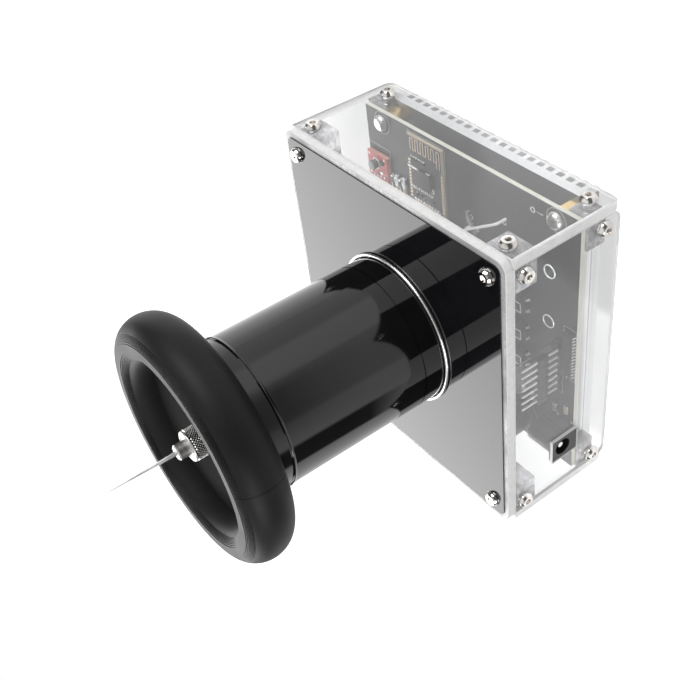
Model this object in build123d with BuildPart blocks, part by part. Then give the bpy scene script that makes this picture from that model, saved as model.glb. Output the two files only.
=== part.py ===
from build123d import *
import os

# Desktop resonant transformer: a clear square case that stands on its heat sink, with the
# coil tube, the ring-shaped top load and the discharge needle above it.
# Millimetres, +Z up. The origin is on the coil's axis, level with the heat sink's fin tips.

os.makedirs("parts", exist_ok=True)

# ---- driving dimensions ----------------------------------------------------------------------

# heat sink
sink_margin = 3.6           # the extrusion is this much narrower than the board
sink_shift = 2.0            # and sits this far towards the rear panel
sink_base = 3.7
sink_rim = 5.2              # free of fins along both sides
fin_height = 5.9
fin_pitch = 4.2
fin_thickness = 1.7

# main board and the brass standoffs under it
board_size = 100.0
board_thickness = 1.6
board_hole_inset_x = 4.2
board_hole_inset_y = 8.5
standoff_length = 7.4
standoff_flats = 5.5
standoff_stud = 3.2
board_screw_reach = 4.0
dome_radius = 3.1
dome_height = 2.1

# case of clear plates
plate_thickness = 3.0
board_clearance = 0.75      # between the board's edges and the plates
case_corner_radius = 4.0
rim_corner_radius = 3.5
rim_below_base = 1.5        # the plates' lower edge lies this far under the sink's base
board_to_panel = 28.2       # free height between the board and the top panel
sheet_margin = 2.1          # the black sheet ends this far inside the case's edge
sheet_thickness = 0.4
sheet_corner_radius = 2.5

# corner blocks
block_size = 10.0
lower_block_width = 5.8
lower_block_gap = 0.2       # between the lower blocks and the board

# M3 screws
screw_radius = 1.45
tapped_radius = 1.5
through_radius = 1.6
head_radius = 2.8
head_height = 1.65
head_rim = 0.25
hexagon_flats = 2.0
hexagon_depth = 1.0
side_screw_length = 5.0
top_screw_length = 6.0
hole_allowance = 0.2        # a tapped hole is this much deeper than its screw reaches
top_screw_inset = 7.25      # from the case's edges
side_screw_inset = 6.85
upper_screw_drop = 4.3      # screw centre below the top panel
lower_screw_rise = 1.6      # screw centre above the heat sink's base

# coil tube
former_radius = 25.6
former_wall = 2.0
former_height = 73.0        # above the black sheet
primary_start = 1.5
primary_end = 7.8
secondary_start = 9.2
secondary_end = 58.6
winding_thickness = 0.15
sleeve_thickness = 0.25
sleeve_overlap = 0.5
ring_wire = 1.2
ring_gap = 0.15             # between the foot ring and the sleeve
plug_height = 10.0
cap_height = 8.0
plug_gap = 0.05
plug_screw_inset = 6.55     # from the plug's edge
plug_screw_count = 3
plug_screw_length = 8.0
lead_place = 8.0
lead_radius = 0.6
lead_bore = 0.8

# top load, terminal and needle
load_overhang = 1.7         # the ring's inner side lies this far outside the tube
load_half_width = 7.4       # of the ring's oval section, across the axis
load_half_height = 8.5      # and along it
load_rise = 2.1             # the section's centre above the tube's end
dish_thickness = 2.0
dish_seat = 0.1             # gap between the tube's end and the dish
terminal_radius = 1.95
terminal_bore = 2.0
terminal_reach = 4.2        # how far the stud stands above the dish
lock_nut_height = 3.2
lock_nut_flats = 7.0
nut_radius = 5.35
nut_height = 5.1
nut_chamfer = 0.4
nut_seat = 0.1
boss_radius = 2.6
boss_height = 3.8
boss_chamfer = 0.3
needle_radius = 0.75
needle_tip = 0.08
needle_length = 22.0        # from the boss to the point
needle_tail = 3.4

# power inlet on the board
inlet_width = 9.0
inlet_height = 11.0
inlet_front = 3.4           # thickness of the square front
inlet_barrel = 4.3          # radius of the round body behind it
inlet_barrel_length = 10.6
inlet_base_height = 4.0
inlet_inset = 15.8          # from the board's left edge
inlet_bore = 3.15
inlet_bore_depth = 9.5
inlet_bore_rise = 6.3       # bore centre above the board
inlet_pin = 1.0
inlet_pin_length = 8.5
inlet_recess = 0.4          # the face lies this far inside the panel's outer face
cutout_gap = 0.3

# pin header with long pins
pin_count = 7
pin_pitch = 2.77
pin_width = 0.64
pin_top = 17.0              # above the board
header_x = -8.2
header_inset = 6.8          # from the board's front edge
header_width = 2.3
header_base = 1.2
header_gap = 5.0
header_upper = 4.0

# power transistors on the heat sink, screwed down through openings in the board
transistor_x = (29.1, 9.7)
transistor_inset = 9.6      # from the board's front edge
transistor_length = 15.5
transistor_width = 10.0
transistor_height = 4.4
tab_thickness = 1.3
tab_length = 6.4
leg_count = 3
leg_pitch = 2.54
leg_width = 0.8
leg_reach = 3.0
leg_rise = 2.0
access_radius = 2.9

# parts on the board: where each stands, then its size
board_edge = board_size / 2
controller_place = (0.0, 2.75 - board_edge)
controller_size = (18.0, 3.9, 1.8)
controller_leads = 14
controller_lead_pitch = 1.27
controller_lead_reach = 0.55
controller_lead_width = 0.4
chip_lift = 0.2             # the controller's body stands this far off the board
driver_places = [(9.5, -25.5), (-2.0, -25.5), (-13.5, -25.5)]
driver_size = (6.6, 6.1, 2.3)
driver_tab = (5.3, 3.2, 0.6)
wireless_place = (board_edge - 14.8, 18.0)
wireless_size = (26.0, 18.0, 0.8)
wireless_chip = (6.0, 6.0, 0.9)
wireless_chip_shift = -1.5
red_place = (29.5, board_edge - 5.8)
red_size = (12.0, 11.0, 1.6)
red_can_radius = 3.2
red_can_height = 3.0
capacitor_place = (10.0 - board_edge, -26.0)
capacitor_radius = 6.3
capacitor_height = 12.0
capacitor_seam = 0.5
small_part_size = (3.2, 1.6, 1.1)
small_part_places = [(-26.5, 8.0 - board_edge), (-24.5, 3.0 - board_edge), (27.0, 34.5),
                     (23.5, 34.5), (27.5, 30.5), (24.0, 30.5), (-29.0, -31.0), (-24.0, -36.0)]
link_radius = 0.5
link_height = 4.0
link_ends = [(26.0, -4.0), (36.0, -20.0)]
link_bend = 1.6

# ---- levels worked out from them -------------------------------------------------------------

sink_length = board_size
sink_width = board_size - sink_margin
fin_count = int((sink_width - fin_thickness - 2 * sink_rim) / fin_pitch) + 1
base_z = fin_height
base_top_z = base_z + sink_base
board_z = base_top_z + standoff_length
board_top_z = board_z + board_thickness
panel_z = board_top_z + board_to_panel
sheet_z = panel_z + plate_thickness
deck_z = sheet_z + sheet_thickness
rim_z = base_z - rim_below_base
inner_half = board_edge + board_clearance
case_half = inner_half + plate_thickness
case_width = 2 * case_half
sheet_size = case_width - 2 * sheet_margin
board_hole_x = board_edge - board_hole_inset_x
board_hole_y = board_edge - board_hole_inset_y
top_screw_place = case_half - top_screw_inset
side_screw_place = case_half - side_screw_inset
lower_block_height = standoff_length - lower_block_gap
plate_height = panel_z - rim_z
upper_screw_z = panel_z - upper_screw_drop
lower_screw_z = base_top_z + lower_screw_rise
top_hole_depth = top_screw_length - plate_thickness - sheet_thickness + hole_allowance
side_hole_depth = side_screw_length - plate_thickness + hole_allowance
former_bore = former_radius - former_wall
plug_radius = former_bore - plug_gap
plug_screw_circle = plug_radius - plug_screw_inset
load_radius = former_radius + load_overhang + load_half_width
wound_radius = former_radius + winding_thickness
sleeve_radius = wound_radius + sleeve_thickness
ring_radius = sleeve_radius + ring_gap + ring_wire / 2
former_top_z = deck_z + former_height
dish_z = former_top_z + dish_seat
dish_top_z = dish_z + dish_thickness
load_z = former_top_z + load_rise
terminal_top_z = dish_top_z + terminal_reach
nut_z = dish_top_z + nut_seat
boss_z = nut_z + nut_height
boss_top_z = boss_z + boss_height
inlet_place = inlet_inset - board_edge
inlet_face_y = -(case_half - inlet_recess)
header_y = header_inset - board_edge
transistor_y = transistor_inset - board_edge
corners = [(1, 1), (1, -1), (-1, -1), (-1, 1)]
lead_places = [(0, lead_place), (0, -lead_place)]
transistor_places = [(x, transistor_y) for x in transistor_x]


def save(piece, name):
    """Label one finished piece and write it as its own file."""
    piece.label = name
    export_step(piece, f"parts/{name}.step")


def outward(side):
    """Plane on a side panel's outer face: its X runs along the panel, its Y runs up."""
    nx, ny = {"right": (1, 0), "left": (-1, 0), "rear": (0, 1), "front": (0, -1)}[side]
    return Plane(origin=(nx * case_half, ny * case_half, 0), x_dir=(-ny, nx, 0), z_dir=(nx, ny, 0))


def button_screw(length):
    """Button-head screw standing on the XY plane, its shank pointing down."""
    with BuildPart() as screw:
        with BuildSketch(Plane.XZ):
            with BuildLine():
                Polyline((0, head_height), (0, 0), (head_radius, 0), (head_radius, head_rim))
                RadiusArc((head_radius, head_rim), (hexagon_flats, head_height), -head_radius)
                Line((hexagon_flats, head_height), (0, head_height))
            make_face()
        revolve(axis=Axis.Z)
        with BuildSketch(Plane.XY.offset(head_height)):
            RegularPolygon(hexagon_flats / 2, 6, major_radius=False)
        extrude(amount=-hexagon_depth, mode=Mode.SUBTRACT)
        with BuildSketch(Plane.XY):
            Circle(screw_radius)
        extrude(amount=-length)
    return screw.part


def box_on(level, place, size):
    """Add a box of a size (x, y, z) that stands on a level to the part being built."""
    with Locations((place[0], place[1], level)):
        Box(*size, align=(Align.CENTER, Align.CENTER, Align.MIN))


# ---- heat sink -------------------------------------------------------------------------------

with BuildPart() as heat_sink:
    with BuildSketch(Plane.XY.offset(base_z)):
        with Locations((0, sink_shift)):
            Rectangle(sink_length, sink_width)
    extrude(amount=sink_base)
    with BuildSketch(Plane.XY):
        with Locations((0, sink_shift)):
            with GridLocations(0, fin_pitch, 1, fin_count):
                Rectangle(sink_length, fin_thickness)
    extrude(amount=fin_height)
    with BuildSketch(Plane.XY.offset(base_top_z)):
        with GridLocations(2 * board_hole_x, 2 * board_hole_y, 2, 2):
            Circle(tapped_radius)
        with Locations(transistor_places):
            Circle(tapped_radius)
    extrude(amount=-(standoff_stud + hole_allowance), mode=Mode.SUBTRACT)
save(heat_sink.part, "heat_sink")

# ---- standoffs, board and its screws ---------------------------------------------------------

with BuildPart() as standoffs:
    with BuildSketch(Plane.XY.offset(base_top_z)):
        with GridLocations(2 * board_hole_x, 2 * board_hole_y, 2, 2):
            RegularPolygon(standoff_flats / 2, 6, major_radius=False, rotation=30)
    extrude(amount=standoff_length)
    with BuildSketch(Plane.XY.offset(base_top_z)):
        with GridLocations(2 * board_hole_x, 2 * board_hole_y, 2, 2):
            Circle(screw_radius)
    extrude(amount=-standoff_stud)
    with BuildSketch(Plane.XY.offset(board_z)):
        with GridLocations(2 * board_hole_x, 2 * board_hole_y, 2, 2):
            Circle(tapped_radius)
    extrude(amount=-(board_screw_reach + hole_allowance), mode=Mode.SUBTRACT)
save(standoffs.part, "standoffs")

with BuildPart() as board_screws:
    with BuildSketch(Plane.XY.offset(board_top_z)):
        with GridLocations(2 * board_hole_x, 2 * board_hole_y, 2, 2):
            Circle(dome_radius)
    extrude(amount=dome_height)
    dome_edges = board_screws.edges().filter_by(GeomType.CIRCLE).group_by(Axis.Z)[-1]
    fillet(dome_edges, radius=dome_height * 0.9)
    with BuildSketch(Plane.XY.offset(board_top_z)):
        with GridLocations(2 * board_hole_x, 2 * board_hole_y, 2, 2):
            Circle(screw_radius)
    extrude(amount=-(board_thickness + board_screw_reach))
save(board_screws.part, "board_screws")

with BuildPart() as main_board:
    with BuildSketch(Plane.XY.offset(board_z)):
        Rectangle(board_size, board_size)
        with GridLocations(2 * board_hole_x, 2 * board_hole_y, 2, 2):
            Circle(through_radius, mode=Mode.SUBTRACT)
        with Locations(transistor_places):
            Circle(access_radius, mode=Mode.SUBTRACT)
        with Locations(lead_places):
            Circle(lead_bore, mode=Mode.SUBTRACT)
    extrude(amount=board_thickness)
save(main_board.part, "main_board")

# ---- case ------------------------------------------------------------------------------------


def deck_holes():
    """The holes that the top panel and the black sheet share."""
    with GridLocations(2 * top_screw_place, 2 * top_screw_place, 2, 2):
        Circle(through_radius, mode=Mode.SUBTRACT)
    with PolarLocations(plug_screw_circle, plug_screw_count):
        Circle(through_radius, mode=Mode.SUBTRACT)
    with Locations(lead_places):
        Circle(lead_bore, mode=Mode.SUBTRACT)


with BuildPart() as top_panel:
    with BuildSketch(Plane.XY.offset(panel_z)):
        RectangleRounded(case_width, case_width, case_corner_radius)
        deck_holes()
    extrude(amount=plate_thickness)
save(top_panel.part, "top_panel")

with BuildPart() as top_sheet:
    with BuildSketch(Plane.XY.offset(sheet_z)):
        RectangleRounded(sheet_size, sheet_size, sheet_corner_radius)
        deck_holes()
    extrude(amount=sheet_thickness)
save(top_sheet.part, "top_sheet")


def side_panel(side, width):
    """Clear side panel with four screw holes, rounded lower corners and any inlet opening."""
    with BuildPart() as panel:
        with BuildSketch(outward(side)):
            with Locations((0, rim_z + plate_height / 2)):
                Rectangle(width, plate_height)
            fillet(vertices().sort_by(Axis.Y)[:2], radius=rim_corner_radius)
            for row in (upper_screw_z, lower_screw_z):
                with Locations((-side_screw_place, row), (side_screw_place, row)):
                    Circle(through_radius, mode=Mode.SUBTRACT)
            if side == "front":
                with Locations((inlet_place, board_top_z + inlet_height / 2)):
                    Rectangle(inlet_width + 2 * cutout_gap, inlet_height + 2 * cutout_gap,
                              mode=Mode.SUBTRACT)
        extrude(amount=-plate_thickness)
    return panel.part


for side in ("right", "left"):
    save(side_panel(side, case_width), f"{side}_panel")
for side in ("rear", "front"):
    save(side_panel(side, 2 * inner_half), f"{side}_panel")


def corner_blocks(level, size, screw_z, top_hole):
    """Four clear blocks in the case's corners, tapped for the screws through the plates."""
    with BuildPart() as blocks:
        for sx, sy in corners:
            box_on(level, (sx * (inner_half - size[0] / 2), sy * (inner_half - size[1] / 2)), size)
        for side in ("right", "left", "rear", "front"):
            face = outward(side).offset(-plate_thickness)
            with BuildSketch(face):
                with Locations((-side_screw_place, screw_z), (side_screw_place, screw_z)):
                    Circle(tapped_radius)
            extrude(amount=-side_hole_depth, mode=Mode.SUBTRACT)
        if top_hole:
            with BuildSketch(Plane.XY.offset(level + size[2])):
                with GridLocations(2 * top_screw_place, 2 * top_screw_place, 2, 2):
                    Circle(tapped_radius)
            extrude(amount=-top_hole_depth, mode=Mode.SUBTRACT)
    return blocks.part


upper_size = (block_size, block_size, block_size)
lower_size = (block_size, lower_block_width, lower_block_height)
save(corner_blocks(panel_z - block_size, upper_size, upper_screw_z, True), "upper_corner_blocks")
save(corner_blocks(base_top_z, lower_size, lower_screw_z, False), "lower_corner_blocks")

side_screw = button_screw(side_screw_length)
for row_name, row_z in (("upper", upper_screw_z), ("lower", lower_screw_z)):
    with BuildPart() as side_screws:
        for side in ("right", "left", "rear", "front"):
            with Locations(outward(side)):
                with Locations((-side_screw_place, row_z), (side_screw_place, row_z)):
                    add(side_screw)
    save(side_screws.part, f"{row_name}_side_screws")

with BuildPart() as top_screws:
    with Locations(Plane.XY.offset(deck_z)):
        with GridLocations(2 * top_screw_place, 2 * top_screw_place, 2, 2):
            add(button_screw(top_screw_length))
save(top_screws.part, "top_screws")

# ---- coil tube -------------------------------------------------------------------------------


def pipe(level, inner, outer, height):
    """Plain round tube that stands on a level."""
    with BuildPart() as tube:
        with BuildSketch(Plane.XY.offset(level)):
            Circle(outer)
            Circle(inner, mode=Mode.SUBTRACT)
        extrude(amount=height)
    return tube.part


primary_length = primary_end - primary_start
secondary_length = secondary_end - secondary_start
save(pipe(deck_z, former_bore, former_radius, former_height), "coil_former")
save(pipe(deck_z + primary_start, former_radius, wound_radius, primary_length), "primary_winding")
save(pipe(deck_z + secondary_start, former_radius, wound_radius, secondary_length),
     "secondary_winding")
save(pipe(deck_z + primary_start - sleeve_overlap, wound_radius, sleeve_radius,
          primary_length + 2 * sleeve_overlap), "primary_sleeve")
save(pipe(deck_z + secondary_start - sleeve_overlap, wound_radius, sleeve_radius,
          secondary_length + 2 * sleeve_overlap), "secondary_sleeve")

with BuildPart() as foot_ring:
    with BuildSketch(Plane.XZ):
        with Locations((ring_radius, deck_z + ring_wire / 2)):
            Circle(ring_wire / 2)
    revolve(axis=Axis.Z)
save(foot_ring.part, "foot_ring")

plug_hole_depth = plug_screw_length - plate_thickness - sheet_thickness + hole_allowance
with BuildPart() as foot_plug:
    with BuildSketch(Plane.XY.offset(deck_z)):
        Circle(plug_radius)
        with Locations(lead_places):
            Circle(lead_bore, mode=Mode.SUBTRACT)
    extrude(amount=plug_height)
    with BuildSketch(Plane.XY.offset(deck_z)):
        with PolarLocations(plug_screw_circle, plug_screw_count):
            Circle(tapped_radius)
    extrude(amount=plug_hole_depth, mode=Mode.SUBTRACT)
save(foot_plug.part, "foot_plug")

with BuildPart() as plug_screws:
    with Locations(Plane(origin=(0, 0, panel_z), x_dir=(1, 0, 0), z_dir=(0, 0, -1))):
        with PolarLocations(plug_screw_circle, plug_screw_count):
            add(button_screw(plug_screw_length))
save(plug_screws.part, "plug_screws")

with BuildPart() as coil_leads:
    with BuildSketch(Plane.XY.offset(board_z)):
        with Locations(lead_places):
            Circle(lead_radius)
    extrude(amount=deck_z + plug_height - board_z)
save(coil_leads.part, "coil_leads")

with BuildPart() as tube_cap:
    with BuildSketch(Plane.XY.offset(former_top_z - cap_height)):
        Circle(plug_radius)
        Circle(terminal_bore, mode=Mode.SUBTRACT)
    extrude(amount=cap_height)
save(tube_cap.part, "tube_cap")

# ---- terminal, top load and needle -----------------------------------------------------------

lock_nut_z = former_top_z - cap_height - lock_nut_height
with BuildPart() as terminal_stud:
    with BuildSketch(Plane.XY.offset(lock_nut_z)):
        Circle(terminal_radius)
    extrude(amount=terminal_top_z - lock_nut_z)
save(terminal_stud.part, "terminal_stud")

with BuildPart() as lock_nut:
    with BuildSketch(Plane.XY.offset(lock_nut_z)):
        RegularPolygon(lock_nut_flats / 2, 6, major_radius=False)
        Circle(terminal_bore, mode=Mode.SUBTRACT)
    extrude(amount=lock_nut_height)
save(lock_nut.part, "lock_nut")

with BuildPart() as top_load:
    with BuildSketch(Plane.XZ):
        with Locations((load_radius, load_z)):
            Ellipse(load_half_width, load_half_height)
    revolve(axis=Axis.Z)
    with BuildSketch(Plane.XY.offset(dish_z)):
        Circle(load_radius)
        Circle(terminal_bore, mode=Mode.SUBTRACT)
    extrude(amount=dish_thickness)
save(top_load.part, "top_load")

with BuildPart() as thumb_nut:
    with BuildSketch(Plane.XY.offset(nut_z)):
        Circle(nut_radius)
    extrude(amount=nut_height)
    chamfer(thumb_nut.edges().filter_by(GeomType.CIRCLE), length=nut_chamfer)
    with BuildSketch(Plane.XY.offset(boss_z)):
        Circle(boss_radius)
    extrude(amount=boss_height)
    boss_edge = thumb_nut.edges().filter_by(GeomType.CIRCLE).sort_by(Axis.Z)[-1]
    chamfer(boss_edge, length=boss_chamfer)
    with BuildSketch(Plane.XY.offset(nut_z)):
        Circle(terminal_bore)
    extrude(amount=terminal_top_z - nut_z + hole_allowance, mode=Mode.SUBTRACT)
    with BuildSketch(Plane.XY.offset(boss_top_z)):
        Circle(needle_radius)
    extrude(amount=-needle_tail, mode=Mode.SUBTRACT)
save(thumb_nut.part, "thumb_nut")

with BuildPart() as needle:
    with BuildSketch(Plane.XZ):
        with BuildLine():
            Polyline((0, boss_top_z - needle_tail), (needle_radius, boss_top_z - needle_tail),
                     (needle_radius, boss_top_z), (needle_tip, boss_top_z + needle_length),
                     (0, boss_top_z + needle_length), close=True)
        make_face()
    revolve(axis=Axis.Z)
save(needle.part, "needle")

# ---- power inlet and pin header --------------------------------------------------------------

inlet_bore_z = board_top_z + inlet_bore_rise
inlet_plane = Plane(origin=(inlet_place, inlet_face_y, inlet_bore_z), x_dir=(1, 0, 0),
                    z_dir=(0, -1, 0))
with BuildPart() as power_inlet:
    box_on(board_top_z, (inlet_place, inlet_face_y + inlet_front / 2),
           (inlet_width, inlet_front, inlet_height))
    box_on(board_top_z, (inlet_place, inlet_face_y + inlet_front + inlet_barrel_length / 2),
           (2 * inlet_barrel, inlet_barrel_length, inlet_base_height))
    with BuildSketch(inlet_plane.offset(-inlet_front)):
        Circle(inlet_barrel)
    extrude(amount=-inlet_barrel_length)
    with BuildSketch(inlet_plane):
        Circle(inlet_bore)
    extrude(amount=-inlet_bore_depth, mode=Mode.SUBTRACT)
save(power_inlet.part, "power_inlet")

with BuildPart() as inlet_pin_part:
    with BuildSketch(inlet_plane.offset(-inlet_bore_depth)):
        Circle(inlet_pin)
    extrude(amount=inlet_pin_length)
save(inlet_pin_part.part, "inlet_pin")

pin_places = [(header_x + (i - (pin_count - 1) / 2) * pin_pitch, header_y)
              for i in range(pin_count)]
header_length = pin_count * pin_pitch
upper_header_z = board_top_z + header_base + header_gap
with BuildPart() as header_blocks:
    for level, height in ((board_top_z, header_base), (upper_header_z, header_upper)):
        with BuildSketch(Plane.XY.offset(level)):
            with Locations((header_x, header_y)):
                Rectangle(header_length, header_width)
            with Locations(pin_places):
                Rectangle(pin_width, pin_width, mode=Mode.SUBTRACT)
        extrude(amount=height)
save(header_blocks.part, "header_blocks")

with BuildPart() as header_pins:
    with BuildSketch(Plane.XY.offset(board_top_z)):
        with Locations(pin_places):
            Rectangle(pin_width, pin_width)
    extrude(amount=pin_top)
save(header_pins.part, "header_pins")

# ---- power transistors under the board -------------------------------------------------------

body_length = transistor_length - tab_length
body_shift = transistor_length / 2
leg_start = tab_length / 2 + body_length
with BuildPart() as transistors:
    with BuildSketch(Plane.XY.offset(base_top_z)):
        with Locations(transistor_places):
            Rectangle(transistor_width, tab_length)
            Circle(through_radius, mode=Mode.SUBTRACT)
    extrude(amount=tab_thickness)
    with BuildSketch(Plane.XY.offset(base_top_z)):
        with Locations([(x, y + body_shift) for x, y in transistor_places]):
            Rectangle(transistor_width, body_length)
    extrude(amount=transistor_height)
    for x, y in transistor_places:
        for leg in range(leg_count):
            leg_x = x + (leg - (leg_count - 1) / 2) * leg_pitch
            box_on(base_top_z + leg_rise, (leg_x, y + leg_start + leg_reach / 2),
                   (leg_width, leg_reach, leg_width))
            box_on(base_top_z + leg_rise, (leg_x, y + leg_start + leg_reach - leg_width / 2),
                   (leg_width, leg_width, standoff_length - leg_rise))
save(transistors.part, "power_transistors")

with BuildPart() as transistor_screws:
    with Locations(Plane.XY.offset(base_top_z + tab_thickness)):
        with Locations(transistor_places):
            add(button_screw(tab_thickness + standoff_stud))
save(transistor_screws.part, "transistor_screws")

# ---- parts on the board ----------------------------------------------------------------------

with BuildPart() as controller_chip:
    box_on(board_top_z + chip_lift, controller_place, controller_size)
    with BuildSketch(Plane.XY.offset(board_top_z)):
        for end in (1, -1):
            reach = end * (controller_size[1] + controller_lead_reach) / 2
            with Locations((controller_place[0], controller_place[1] + reach)):
                with GridLocations(controller_lead_pitch, 0, controller_leads, 1):
                    Rectangle(controller_lead_width, controller_lead_reach + controller_lead_width)
    extrude(amount=controller_size[2] / 2)
save(controller_chip.part, "controller_chip")

with BuildPart() as drivers:
    for x, y in driver_places:
        box_on(board_top_z, (x, y), driver_size)
        box_on(board_top_z, (x, y + (driver_size[1] + driver_tab[1]) / 2), driver_tab)
save(drivers.part, "driver_transistors")

with BuildPart() as wireless_board:
    box_on(board_top_z, wireless_place, wireless_size)
save(wireless_board.part, "wireless_board")

chip_level = board_top_z + wireless_size[2]
with BuildPart() as wireless_chip_part:
    box_on(chip_level, (wireless_place[0] + wireless_chip_shift, wireless_place[1]), wireless_chip)
save(wireless_chip_part.part, "wireless_chip")

with BuildPart() as red_board:
    box_on(board_top_z, red_place, red_size)
save(red_board.part, "red_board")

with BuildPart() as red_board_can:
    with BuildSketch(Plane.XY.offset(board_top_z + red_size[2])):
        with Locations(red_place):
            Circle(red_can_radius)
    extrude(amount=red_can_height)
save(red_board_can.part, "red_board_can")

with BuildPart() as capacitor:
    with BuildSketch(Plane.XY.offset(board_top_z)):
        with Locations(capacitor_place):
            Circle(capacitor_radius)
    extrude(amount=capacitor_height)
    fillet(capacitor.edges().filter_by(GeomType.CIRCLE), radius=capacitor_seam)
save(capacitor.part, "storage_capacitor")

with BuildPart() as small_parts:
    for place in small_part_places:
        box_on(board_top_z, place, small_part_size)
save(small_parts.part, "small_parts")

link_start, link_end = link_ends
with BuildPart() as link_wire:
    with BuildLine() as route:
        FilletPolyline((link_start[0], link_start[1], board_top_z),
                       (link_start[0], link_start[1], board_top_z + link_height),
                       (link_end[0], link_end[1], board_top_z + link_height),
                       (link_end[0], link_end[1], board_top_z), radius=link_bend)
    with BuildSketch(Plane(origin=route.line @ 0, z_dir=route.line % 0)):
        Circle(link_radius)
    sweep()
save(link_wire.part, "link_wire")
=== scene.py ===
import math

import bmesh
import bpy
from mathutils import Matrix, Vector


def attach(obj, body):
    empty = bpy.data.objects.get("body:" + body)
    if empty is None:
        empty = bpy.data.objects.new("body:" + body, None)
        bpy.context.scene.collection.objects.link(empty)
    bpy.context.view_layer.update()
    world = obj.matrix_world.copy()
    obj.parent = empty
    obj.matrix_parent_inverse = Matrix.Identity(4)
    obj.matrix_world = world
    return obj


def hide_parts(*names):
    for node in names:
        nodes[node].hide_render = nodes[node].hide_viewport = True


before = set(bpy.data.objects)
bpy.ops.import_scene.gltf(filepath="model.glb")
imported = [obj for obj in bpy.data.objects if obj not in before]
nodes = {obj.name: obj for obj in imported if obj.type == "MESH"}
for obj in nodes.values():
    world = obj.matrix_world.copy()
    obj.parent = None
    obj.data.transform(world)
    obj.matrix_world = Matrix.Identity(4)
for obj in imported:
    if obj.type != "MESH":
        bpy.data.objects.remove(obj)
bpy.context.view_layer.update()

scene = bpy.context.scene
mm = 0.001
hairline = 0.02     # mm by which flat pads and prints stand off the surface under them

boardTop = 18.6     # the main board's upper face in mm, above the stand
fullTurn = 2 * math.pi
acrylicIor = 1.49


def pick(values, names):
    return [values[name] for name in names.split()]


def newMaterial(name):
    mat = bpy.data.materials.new(name)
    mat.use_nodes = True
    tree = mat.node_tree
    return mat, tree, tree.nodes["Principled BSDF"]


# links a socket or sets a value; colours are given as three numbers
def putInto(tree, socket, value):
    if isinstance(value, bpy.types.NodeSocket):
        tree.links.new(value, socket)
    else:
        socket.default_value = (*value, 1.0) if socket.type == "RGBA" else value


# a new shader node; numbered holds the inputs that are reached by number
def addNode(tree, kind, settings=None, numbered=None, **inputs):
    node = tree.nodes.new("ShaderNode" + kind)
    for key, value in (settings or {}).items():
        setattr(node, key, value)
    for key, value in (numbered or {}).items():
        putInto(tree, node.inputs[key], value)
    for key, value in inputs.items():
        putInto(tree, node.inputs[key.replace("_", " ")], value)
    return node


def mathNode(tree, operation, a, b=0.0, clamp=False):
    return addNode(tree, "Math", {"operation": operation, "use_clamp": clamp},
                   {0: a, 1: b}).outputs[0]


def times(tree, a, b, clamp=False):
    return mathNode(tree, "MULTIPLY", a, b, clamp)


def mixColour(tree, factor, a, b, blend="MIX"):
    return addNode(tree, "Mix", {"data_type": "RGBA", "blend_type": blend},
                   {0: factor, 6: a, 7: b}).outputs[2]


def mapRange(tree, value, low, high, newLow=0.0, newHigh=1.0):
    return addNode(tree, "MapRange", Value=value, From_Min=low, From_Max=high,
                   To_Min=newLow, To_Max=newHigh).outputs[0]


def objectPoint(tree):
    return addNode(tree, "TexCoord").outputs["Object"]


def splitPoint(tree):
    return addNode(tree, "SeparateXYZ", Vector=objectPoint(tree)).outputs


def dotWith(tree, vector, direction):
    return addNode(tree, "VectorMath", {"operation": "DOT_PRODUCT"},
                   {0: vector, 1: direction}).outputs["Value"]


def newGroup(name, inputs, outputName="Value"):
    group = bpy.data.node_groups.new(name, "ShaderNodeTree")
    for socketName, kind, value in inputs:
        socket = group.interface.new_socket(socketName, in_out="INPUT", socket_type=kind)
        socket.default_value = value
    group.interface.new_socket(outputName, in_out="OUTPUT", socket_type="NodeSocketFloat")
    return group, group.nodes.new("NodeGroupInput").outputs, group.nodes.new("NodeGroupOutput").inputs[0]


def useGroup(tree, group, **inputs):
    return addNode(tree, "Group", {"node_tree": group}, **inputs).outputs[0]


# effects that several materials share

noiseSpread = (0.3, 0.7)
lowAndHigh = [("Low", "NodeSocketFloat", 0.0), ("High", "NodeSocketFloat", 1.0)]
mottle, gin, gout = newGroup("mottle", [("Scale", "NodeSocketFloat", 400.0)] + lowAndHigh)
noise = addNode(mottle, "TexNoise", Vector=objectPoint(mottle), Scale=gin["Scale"],
                Detail=5.0, Roughness=0.6)
mottle.links.new(mapRange(mottle, noise.outputs[0], *noiseSpread, gin["Low"], gin["High"]), gout)

# 1 on the sawn edges of a plate and 0 on its faces; Axis is the plate's normal
plateEdge, gin, gout = newGroup("plateEdge", [("Axis", "NodeSocketVector", (0, 0, 1))], "Mask")
surfaceNormal = addNode(plateEdge, "TexCoord").outputs["Normal"]
facing = mathNode(plateEdge, "ABSOLUTE", dotWith(plateEdge, surfaceNormal, gin["Axis"]))
plateEdge.links.new(mapRange(plateEdge, facing, 0.75, 0.95, 1.0, 0.0), gout)

# fine parallel lines: Stretch holds the noise's scale along each axis
drawnLines, gin, gout = newGroup("drawnLines", [("Stretch", "NodeSocketVector", (1, 1, 1))] + lowAndHigh)
mapping = addNode(drawnLines, "Mapping", Vector=objectPoint(drawnLines), Scale=gin["Stretch"])
noise = addNode(drawnLines, "TexNoise", Vector=mapping.outputs[0], Scale=1.0, Detail=4.0)
drawnLines.links.new(mapRange(drawnLines, noise.outputs[0], *noiseSpread, gin["Low"], gin["High"]), gout)

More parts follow.
